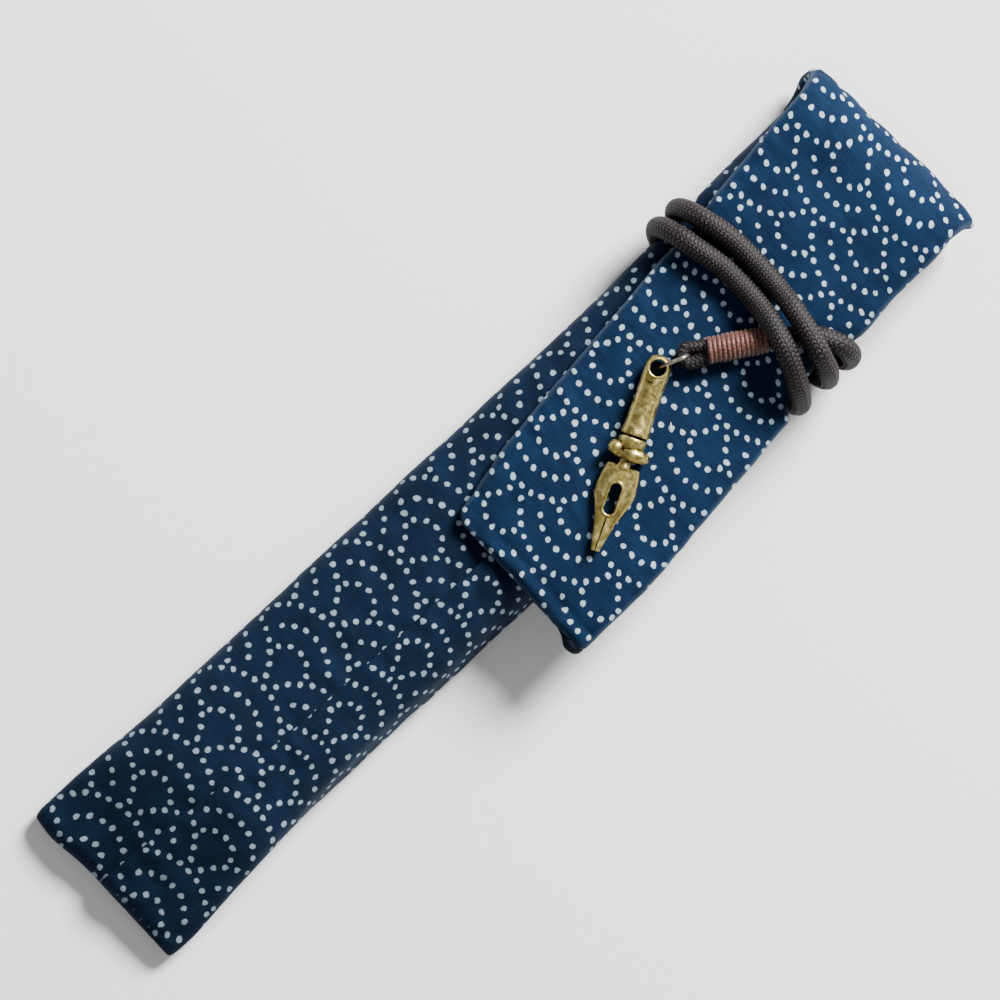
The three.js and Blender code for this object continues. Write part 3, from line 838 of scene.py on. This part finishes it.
def pad_strip(name, stations, free_end=None):
    """A padded strip with a printed outer face and a lining inside, closed all round."""
    far = np.repeat(np.asarray(stations)[:, None], ACROSS, 1)
    left, right = flap_sides(np.minimum(stations, FOLD_X))
    if free_end is not None:
        left = left - corner_inset(stations - free_end, 2.6)
        right = right + corner_inset(stations - free_end, 1.6)
    left = left + 0.07 * waves(stations, 0, 7, 31) + 1.2 * bell(stations - FOLD_X - 1.3 * QUARTER, 7)
    right = right + 0.07 * waves(stations, 0, 6, 32) - 0.9 * bell(stations - FOLD_X - 0.9 * QUARTER, 4)
    t = np.linspace(-1, 1, ACROSS)
    t = np.sign(t) * (1 - (1 - np.abs(t)) ** 1.25)
    side = (left + right)[:, None] / 2 + (left - right)[:, None] / 2 * t
    edge = np.minimum(left[:, None] - side, side - right[:, None])
    if free_end is not None:
        edge = np.minimum(edge, far - free_end)
    thick = lerp(FLAP_THICK, FOLD_THICK, smooth(FOLD_X - 12, FOLD_X, far))
    round_ = thick / 2
    inset = round_ - np.sqrt(np.clip(round_**2 - np.clip(round_ - edge, 0, None) ** 2, 0, None))
    crown = 0.55 * np.exp(-edge / 3.2)

    relief = 0.20 * waves(far, side, 20, 41) + 0.09 * waves(far, side, 8, 42)
    relief += 0.035 * waves(far, side, 3.4, 43)
    relief += 0.12 * waves(far, side * 0.4, 4.5, 44) * bell(edge, 3.5)
    relief += 0.14 * waves(far * 0.3, side, 5, 45) * (bell(far - 49, 5) + bell(far - 69, 5))
    pressed = bell(far - cord_line(side, 0), 2.0) + bell(far - cord_line(side, 1), 2.0)
    relief = np.clip(relief, -0.5, 0.32) * (1 - np.clip(pressed, 0, 1)) + 0.12 * bell(far - 50.5, 3)
    if free_end is not None:
        relief += 0.1 * waves(far * 0.4, side, 5, 46) * bell(far - free_end, 5)
        relief -= 0.22 * bell(far - free_end - 3.4, 0.7)
    relief = relief * smooth(0, 1.2, edge)
    top = pad_place(far, side, relief - crown - inset)
    low = 0.1 * waves(far, side, 12, 47) * smooth(0, 4, edge)
    bottom = pad_place(far, side, -thick + inset + np.abs(low))
    u, v = print_place(far, side)
    worn = 0.10 * bell(edge, 0.45)
    fields = np.stack([u, v, worn], -1)
    loop = np.concatenate([top, bottom[:, -2:0:-1]], 1)
    loop_fields = np.concatenate([fields, fields[:, -2:0:-1]], 1)
    rows, columns = loop.shape[:2]
    faces = grid_faces(rows, columns)
    # the lining starts a little way in from the sides and the free end
    i, j = np.divmod(np.arange(len(faces)), columns)
    under = (j >= ACROSS) & (j < columns - 1)
    deep = np.concatenate([edge, edge[:, -2:0:-1]], 1)[i, j] > 2.6
    indices = list(np.where(under & deep, 1, 0))
    for row in (0, rows - 1):
        for k in range(ACROSS - 1):
            b = [k, k + 1, (columns - k - 1) % columns, (columns - k) % columns]
            quad = [row * columns + q for q in b]
            if len(set(quad)) == 4:
                faces.append(quad)
            else:
                faces.append(list(dict.fromkeys(quad)))
            indices.append(0)
    made = new_object(name, loop.reshape(-1, 3), faces, [printed_cotton, lining_cotton], indices,
                      {"pattern": loop_fields.reshape(-1, 3)})
    return face_out(made)


def corner_inset(along, radius):
    """How far a rounded corner draws the side in, at a distance along from the end."""
    inside = np.clip(radius - along, 0, radius)
    return radius - np.sqrt(radius**2 - inside**2)


def cord_line(side, strand):
    """x of a front strand's middle where it crosses the flap at y = side."""
    middle, pull = (57.3, 0.02) if strand == 0 else (61.8, 0.012)
    return middle - pull * np.clip(-2 - side, 0, 20) ** 2 - 0.03 * np.clip(side - 6, 0, 20) ** 2


flap_rows = np.concatenate([
    FLAP_END + 2.2 * np.linspace(0, 1, 12) ** 2,
    np.linspace(FLAP_END + 2.6, FOLD_X, ALONG // 2),
    np.linspace(FOLD_X, FOLD_X + QUARTER, 40)[1:],
])
flap = pad_strip("flap_cloth", flap_rows, FLAP_END)
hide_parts("flap_shell", "flap_padding", "flap_lining")
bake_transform(flap)

back_rows = np.linspace(FOLD_X + QUARTER, FOLD_X + 2 * QUARTER, 44)
back_fold = pad_strip("fold_cloth", back_rows)
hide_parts("fold_shell", "fold_padding", "fold_lining")
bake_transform(back_fold)


def end_roll():
    """The turned-under hem of the free end, which pokes out as a dark lump at the right corner."""
    ys = np.linspace(1.0, -26.8, 150)
    x = FLAP_END + 0.9 - 0.7 * (1 - smooth(-24.5, -20.5, ys))
    z = FLAP_BOTTOM + 0.55 - flap_sag(x, ys) - 0.25 * (1 - smooth(-25, -20, ys))
    radius = 0.75 + 0.85 * (1 - smooth(-24.5, -21, ys)) * smooth(-27.4, -25.6, ys)
    radius = radius + 0.08 * waves(ys, 0, 3, 51)
    radius = radius * np.sqrt(np.clip(1 - np.clip((-26.0 - ys) / 0.9, 0, 1) ** 2, 0.05, 1))
    path = np.stack([x, ys, z], -1)
    points = sweep(path, radius, 22)
    wrinkle = 0.1 * waves(points[..., 1] * 0.4, points[..., 2] * 3 + points[..., 0] * 3, 3, 52)
    points = points + unit(points - path[:, None]) * wrinkle[..., None]
    u, v = print_place(points[..., 0], points[..., 1])
    return joined("flap_end_roll", [(points, np.stack([u, v, 0 * u], -1))], [hem_cotton])


roll = end_roll()
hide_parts("flap_end_hem")
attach(roll, "flap")

# two short white threads of lint lie on the cloth
lint = thread_run(curve_through([
    [31.5, -9.4, FLAP_TOP + 0.28], [31.9, -8.9, FLAP_TOP + 0.34], [32.4, -8.2, FLAP_TOP + 0.27]], 8), 0.08, 6)
lint = joined("lint_flap", [lint], [lint_white])
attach(lint, "flap")
lint = thread_run(curve_through([
    [-83.6, 6.9, surface_z(-83.6, 6.9) + 0.1], [-83.0, 7.1, surface_z(-83, 7.1) + 0.12],
    [-82.4, 7.9, surface_z(-82.4, 7.9) + 0.06]], 8), 0.08, 6)
lint = joined("lint_sleeve", [lint], [lint_white])
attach(lint, "case")

# ---------------------------------------------------------------- cord

LOW = 2.0
HIGH = 18.2
OVER = 22.3
BEND = (HIGH - LOW) / 2


def bend(centre_y, side, from_x, to_x, degrees):
    made = []
    for index, degree in enumerate(degrees):
        angle = math.radians(degree)
        x = lerp(from_x, to_x, index / (len(degrees) - 1))
        made.append([x, centre_y + side * BEND * math.cos(angle), (HIGH + LOW) / 2 + BEND * math.sin(angle)])
    return made


def up_right(from_x, to_x):
    return bend(-13.0, -1, from_x, to_x, [-90, -60, -30, 0])


def down_left(from_x, to_x):
    return bend(9.8, 1, from_x, to_x, [90, 60, 30, 0, -30, -60, -90])


WHIP_START = np.array([54.5, -9.2, HOLE[2]])
WHIP_END = np.array([45.0, -3.27, HOLE[2]])
WHIP_WAY = unit(WHIP_END - WHIP_START)
CORD_ROUTE = [
    [47.4, 6, LOW], [48.0, -1, LOW], [48.8, -7.5, LOW],
    *up_right(49.5, 50.7),
    # first strand over the flap, humped where it passes over the cord's own end
    [51.5, -20.6, 14.4], [52.6, -18.8, 18.4], [54.1, -15.8, 21.2], [55.5, -12.0, OVER],
    [56.6, -8.0, 21.6], [57.2, -3.9, 19.4], [57.3, 0.6, HIGH + 0.1], [57.1, 5.4, HIGH],
    *down_left(56.2, 51.0),
    [52.6, 4, LOW], [54.2, -4, LOW],
    *up_right(55.7, 57.4),
    # second strand over the flap
    [57.9, -20.8, 14.6], [58.5, -19.4, 18.6], [59.3, -16.8, 21.6], [60.3, -12.8, OVER],
    [61.1, -8.4, 21.4], [61.6, -4.0, 19.2], [61.8, 0.6, HIGH + 0.1], [61.7, 5.4, HIGH],
    *down_left(61.2, 55.2),
    [56.8, 4, LOW], [58.4, -4, LOW],
    *up_right(60.0, 62.4),
    # the end, back under both strands
    [63.1, -20.9, 13.2], [63.2, -19.9, 15.8], [62.7, -17.9, 17.7], [61.2, -15.2, HIGH], [58.7, -12.5, HIGH],
    list(WHIP_START - WHIP_WAY * 0.2),
]


def braided(path, radius, columns, pitch, depth, around):
    """Rings round a path with the relief of a fine braid, in columns of Vs, and their place on it."""
    side, other = carried_frames(path)
    along = np.concatenate([[0], np.cumsum(np.linalg.norm(np.diff(path, axis=0), axis=1))])[:, None]
    turn = (np.arange(around) / around)[None]
    column = (turn * columns) % 1 - 0.5
    stagger = np.floor(turn * columns) % 2 / 2
    stripe = along / pitch + 1.1 * np.abs(column) + stagger
    profile = 0.62 + 0.38 * np.cos(TAU * stripe) - 0.35 * bell(np.abs(column) - 0.5, 0.12)
    profile = profile - 0.2 * bell(column, 0.08)
    uneven = 0.05 * waves(along, turn * 6, 9, 61)
    rings = radius + depth * (profile - 0.7) + uneven
    angles = turn * TAU
    across = side[:, None] * np.cos(angles)[..., None] + other[:, None] * np.sin(angles)[..., None]
    points = path[:, None] + across * rings[..., None]
    # the third value is the braid's relief, which the cord material turns into painted shade in the grooves
    # and a painted highlight on the ridges
    fields = np.stack(np.broadcast_arrays(along, turn * TAU * radius, profile), -1)
    return points, fields


cord_path = even_steps(curve_through(CORD_ROUTE), 0.14)
points, fields = braided(cord_path, CORD_R, 11, 0.74, 0.17, 108)
points[..., 2] = np.maximum(points[..., 2], 0.02)
cord = joined("tie_cord_braid", [(points, fields)], [cord_cotton], "braid")

# ---------------------------------------------------------------- whipping, eye and ring


WHIP_TURNS = 13
WHIP_THREAD_R = 0.42
WHIP_R = 1.95  # to the middle of the thread


def whipping():
    """Thirteen close turns of thread over the cord's end, and the cord under them."""
    length = np.linalg.norm(WHIP_END - WHIP_START)
    side = unit(np.cross(WHIP_WAY, UP))
    t = np.linspace(0, 1, WHIP_TURNS * 40)
    angle = t * WHIP_TURNS * TAU
    wobble = 0.05 * waves(t * 60, 0, 7, 71)
    reach = WHIP_R + wobble + 0.1 * np.sin(math.pi * t)
    path = WHIP_START + WHIP_WAY * (0.35 + t * (length - 0.7))[:, None] \
        + side * (reach * np.cos(angle))[:, None] + UP * (reach * np.sin(angle))[:, None]
    thread = sweep(path, WHIP_THREAD_R, 12)
    core = sweep(np.array([WHIP_START + WHIP_WAY * s for s in np.linspace(0.05, length - 0.05, 12)]), 1.7, 24)
    return [(thread, plain_field(thread))], [(core, plain_field(core))]


thread_parts, core_parts = whipping()
whip = joined("whipping_turns", thread_parts, [copper_thread], "braid")
core = joined("whipping_core", core_parts, [cord_cotton], "braid")
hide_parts("cord_whipping")
for piece in (whip, core):
    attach(piece, "flap")

EYE = np.array([42.7, -2.0, HOLE[2]])
back = -WHIP_WAY
side = unit(np.cross(UP, WHIP_WAY))
eye_route = [WHIP_END + back * 1.6 + side * 0.6, WHIP_END + side * 0.85, EYE + side * 1.35 - WHIP_WAY * 0.7,
             EYE + side * 1.3 + WHIP_WAY * 0.6, EYE + WHIP_WAY * 1.3, EYE - side * 1.3 + WHIP_WAY * 0.6,
             EYE - side * 1.35 - WHIP_WAY * 0.7, WHIP_END - side * 0.85, WHIP_END + back * 1.6 - side * 0.6]
eye_path = even_steps(curve_through(eye_route), 0.12)
points, fields = braided(eye_path, 1.12, 5, 0.8, 0.12, 40)
eye = joined("cord_loop", [(points, fields)], [cord_cotton], "braid")
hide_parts("cord_eye")

# frayed ends of the loop stick out beside the whipping
frays = []
fray_root = WHIP_END + side * -1.5 + WHIP_WAY * 0.7
if np.dot(side, [0, -1, 0]) > 0:
    fray_root = WHIP_END + side * 1.5 + WHIP_WAY * 0.7
for _ in range(60):
    way = unit(np.array([draw.uniform(-1, 0.4), draw.uniform(-1, 0.3), draw.uniform(-0.6, 0.6)]))
    root = fray_root + draw.uniform(-0.35, 0.35, 3)
    tip = root + way * draw.uniform(0.5, 1.5)
    middle = (root + tip) / 2 + draw.uniform(-0.35, 0.35, 3)
    tip[2] = max(tip[2], FLAP_TOP + 0.25)
    frays.append(thread_run(curve_through([root, middle, tip], 8), 0.09, 6))
fray = joined("frayed_ends", frays, [cord_cotton], "braid")
for piece in (eye, fray):
    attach(piece, "flap")


WIRE_R = 0.35
RING_END = 1.65  # radius of the ring's round ends


def wire_ring():
    """An oval ring of wire on edge, through the eye and the charm's hole."""
    low, high = box_mm("jump_ring")
    middle = (low + high) / 2
    way = unit(EYE - HOLE)
    span = np.linalg.norm(EYE - HOLE) - 1.9 - (1.55 + 2.35) / 2
    angle = np.linspace(0, TAU, 121)[:-1]
    along = RING_END * np.cos(angle) + np.sign(np.round(np.cos(angle), 6)) * span / 2
    path = middle + way * along[:, None] + UP * (RING_END * np.sin(angle))[:, None]
    path = np.concatenate([path, path[:1]])
    tangent = unit(np.roll(path[:-1], -1, 0) - np.roll(path[:-1], 1, 0))
    flat = np.cross(way, UP)
    over = np.cross(tangent, flat)
    turns = np.arange(16) * TAU / 16
    cos, sin = np.cos(turns)[None, :, None], np.sin(turns)[None, :, None]
    rings = path[:-1, None] + WIRE_R * (flat * cos + over[:, None] * sin)
    return face_out(new_object("wire_ring", *closed_ring(rings), [wire_metal]))


ring = wire_ring()
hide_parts("jump_ring")
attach(ring, "ring")

# ---------------------------------------------------------------- charm

# Made along +X from the hole's centre with its flat back at z = 0, then put in its place.
LIFT = 0.2  # between the flap and the charm's back
HALF = HOLE[2] - FLAP_TOP - LIFT  # height of the barrel's middle over the back


def turned_body(profile):
    """A body of revolution along +X from (x, radius) pairs."""
    around = 56
    rings = []
    angle = np.arange(around) * TAU / around
    for x, radius in profile:
        y, z = radius * np.cos(angle), HALF + radius * np.sin(angle)
        rings.append(np.stack([np.full(around, x), y, z], -1))
    return tube(np.array(rings))


def smooth_profile(points):
    made = curve_through([[x, r, 0] for x, r in points], 7)[:, :2]
    made[:, 1] = np.clip(made[:, 1], 0.01, None)
    return made


def ellipsoid(centre, size):
    around = 40
    lat = np.linspace(-math.pi / 2 + 0.03, math.pi / 2 - 0.03, 24)
    lon = np.arange(around) * TAU / around
    points = np.stack([
        np.cos(lat)[:, None] * np.cos(lon)[None],
        np.repeat(np.sin(lat)[:, None], around, 1),
        np.cos(lat)[:, None] * np.sin(lon)[None]], -1)
    return tube(points * np.array(size) + np.array(centre))


NIB_FROM, NIB_TO = 17.9, 33.3
NIB_CROWN = 0.075  # how much it drops towards its sides
NIB_SIDE = curve_through([(17.9, 2.9, 0), (18.8, 3.15, 0), (20.6, 3.42, 0), (22.4, 3.5, 0), (24.2, 3.22, 0),
                          (26.4, 2.45, 0), (28.6, 1.8, 0), (31.0, 1.25, 0), (33.3, 0.78, 0)])


def nib_half(x):
    return np.interp(x, NIB_SIDE[:, 0], NIB_SIDE[:, 1])


def nib_ridge(x):
    """Height of the nib along its middle."""
    return lerp(2.75, 1.25, float(smooth(19, 33, x)))


def nib_body():
    xs = np.concatenate([[NIB_FROM, NIB_FROM + 0.12], np.linspace(NIB_FROM + 0.4, NIB_TO - 0.3, 90),
                         [NIB_TO - 0.1, NIB_TO]])
    rows = []
    for x in xs:
        half = float(nib_half(x)) * (0.94 if x in (NIB_FROM, NIB_TO) else 1)
        top = nib_ridge(x) * (0.93 if x in (NIB_FROM, NIB_TO) else 1)
        t = np.linspace(-1, 1, 41)
        crown = top - NIB_CROWN * (half * t) ** 2 - 0.5 * np.abs(t) ** 9
        upper = np.stack([np.full(41, x), half * t, crown], -1)
        lower = np.stack([np.full(39, x), half * t[-2:0:-1] * 0.97, np.full(39, 0.35)], -1)
        rows.append(np.concatenate([upper, lower]))
    return tube(np.array(rows))


def cut_away(target, tool):
    """Cuts tool out of target and removes tool."""
    modifier = target.modifiers.new("cut", "BOOLEAN")
    modifier.operation = "DIFFERENCE"
    modifier.object = tool
    modifier.solver = "EXACT"
    bpy.context.view_layer.update()
    evaluated = target.evaluated_get(bpy.context.evaluated_depsgraph_get())
    mesh = bpy.data.meshes.new_from_object(evaluated)
    target.modifiers.clear()
    target.data = mesh
    bpy.data.objects.remove(tool)
    return target


def solid_part(name, shape):
    return face_out(new_object(name, *shape, [brass]))


def prism(outline, low, high):
    """A straight-sided body over an outline of (x, y) points."""
    rings = [np.array([[x, y, z] for x, y in outline]) for z in (low, high)]
    return tube(np.array(rings))


SLOT = (22.0, 25.7, 1.08)
angles = np.linspace(math.pi / 2, 3 * math.pi / 2, 25)
slot_outline = [(SLOT[0] + SLOT[2] * math.cos(a), SLOT[2] * math.sin(a)) for a in angles]
slot_outline += [(SLOT[1] + SLOT[2] * math.cos(a + math.pi), SLOT[2] * math.sin(a + math.pi)) for a in angles]
hole_outline = [(1.5 * math.cos(a), 1.5 * math.sin(a)) for a in np.arange(48) * TAU / 48]

barrel = solid_part("barrel", turned_body(smooth_profile([
    (-2.32, 0.05), (-2.25, 0.75), (-1.7, 1.6), (-0.6, 2.2), (0.8, 2.28), (4, 2.24), (8, 2.3),
    (11, 2.42), (12.1, 2.52), (12.3, 2.45), (12.36, 1.8)])))
top_cut = solid_part("top_cut", prism([(-4, -4), (2.3, -4), (3.6, 4), (-4, 4)], HALF + 1.75, HALF + 5))
charm = cut_away(barrel, top_cut)
under = solid_part("under", prism([(-4, -5), (14, -5), (14, 5), (-4, 5)], -3, 0.02))
charm = cut_away(charm, under)
charm = cut_away(charm, solid_part("hole", prism(hole_outline, -2, 8)))
neck = solid_part("neck", turned_body(smooth_profile([
    (11.9, 0.05), (12.2, 1.7), (12.5, 1.9), (12.8, 2.35), (13.3, 2.5), (14.0, 2.35), (14.8, 1.9), (15.4, 1.3),
    (16.6, 1.0), (17.3, 1.1), (18.3, 1.2), (18.5, 0.05)])))
nib = solid_part("nib", nib_body())
nib = cut_away(nib, solid_part("slot", prism(slot_outline, -2, 8)))
slit = solid_part("slit", prism([(26.5, -0.14), (34, -0.12), (34, 0.12), (26.5, 0.14)], 0.75, 5))
nib = cut_away(nib, slit)


def slot_rim():
    ring = np.array([[x, y, nib_ridge(x) - NIB_CROWN * y**2 - 0.02] for x, y in slot_outline])
    outward = ring.copy()
    outward[:, :2] -= np.array([np.clip(ring[:, 0], SLOT[0], SLOT[1]), 0 * ring[:, 0]]).T
    outward[:, 2] = 0
    outward = unit(outward)
    turns = np.arange(12) * TAU / 12
    points = ring[:, None] + outward[:, None] * (0.12 + 0.26 * np.cos(turns))[None, :, None] \
        + UP * (0.2 * np.sin(turns))[None, :, None]
    return closed_ring(points)


def hole_rim():
    angle = np.arange(64) * TAU / 64
    turns = np.arange(12) * TAU / 12
    way = np.stack([np.cos(angle), np.sin(angle), 0 * angle], -1)
    points = way[:, None] * (1.66 + 0.24 * np.cos(turns))[None, :, None] \
        + UP * (HALF + 1.72 + 0.2 * np.sin(turns))[None, :, None]
    return closed_ring(points)


collar = [
    solid_part("bead_small", ellipsoid((15.1, -2.35, HALF + 0.2), (1.35, 1.45, 1.85))),
    solid_part("bead_large", ellipsoid((15.5, 0.95, HALF + 0.45), (1.4, 2.4, 2.05))),
    solid_part("bead_far", ellipsoid((15.6, 2.7, HALF - 0.2), (1.1, 1.1, 1.6))),
    solid_part("collar_body", ellipsoid((15.7, 0, HALF - 0.1), (1.12, 3.3, 1.75))),
]
rims = [solid_part("slot_rim", slot_rim()), solid_part("hole_rim", hole_rim())]


def merge(name, objects):
    """One object from several, which keeps each one's mesh as it is."""
    work = bmesh.new()
    for piece in objects:
        work.from_mesh(piece.data)
    mesh = bpy.data.meshes.new(name)
    work.to_mesh(mesh)
    work.free()
    mesh.materials.append(brass)
    mesh.polygons.foreach_set("material_index", [0] * len(mesh.polygons))
    mesh.polygons.foreach_set("use_smooth", [True] * len(mesh.polygons))
    for piece in objects:
        bpy.data.objects.remove(piece)
    made = bpy.data.objects.new(name, mesh)
    bpy.context.collection.objects.link(made)
    return made


charm = merge("nib_charm_cast", [charm, neck, nib, *collar, *rims])
charm_turn = math.atan2(-0.482, -0.876) - math.radians(0.8)
charm.data.transform(Matrix.Translation(Vector((HOLE[0], HOLE[1], FLAP_TOP + LIFT)) * MM)
                     @ Matrix.Rotation(charm_turn, 4, "Z"))
charm.data.set_sharp_from_angle(angle=math.radians(50))
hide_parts("nib_charm")
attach(charm, "charm")

# the cord is one length from its plain end to the whipping
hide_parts("tie_cord")
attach(cord, "flap")
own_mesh(cord)

# ---------------------------------------------------------------- floor and light

floor_mesh = bpy.data.meshes.new("floor")
reach = 1.5
corners = [(-reach, -reach, 0), (reach, -reach, 0), (reach, reach, 0), (-reach, reach, 0)]
floor_mesh.from_pydata(corners, [], [(0, 1, 2, 3)])
floor_tree = Tree("floor")
floor_mesh.materials.append(floor_tree.finish((0.93, 0.93, 0.93, 1), 0.9))
floor = bpy.data.objects.new("floor", floor_mesh)
bpy.context.collection.objects.link(floor)


def soft_light(name, place, energy, size):
    data = bpy.data.lights.new(name, "AREA")
    data.energy = energy
    data.shape = "DISK"
    data.size = size
    light = bpy.data.objects.new(name, data)
    light.location = place
    light.rotation_euler = (-Vector(place)).to_track_quat("-Z", "Y").to_euler()
    bpy.context.collection.objects.link(light)


soft_light("window", (1.15, 0.10, 0.80), 79.0, 0.54)  # low from the right
soft_light("fill", (-0.4, -0.3, 0.9), 1.4, 0.9)
world = bpy.data.worlds.new("world")
world.use_nodes = True
world.node_tree.nodes["Background"].inputs["Color"].default_value = (1, 1, 1, 1)
world.node_tree.nodes["Background"].inputs["Strength"].default_value = 0.27
bpy.context.scene.world = world
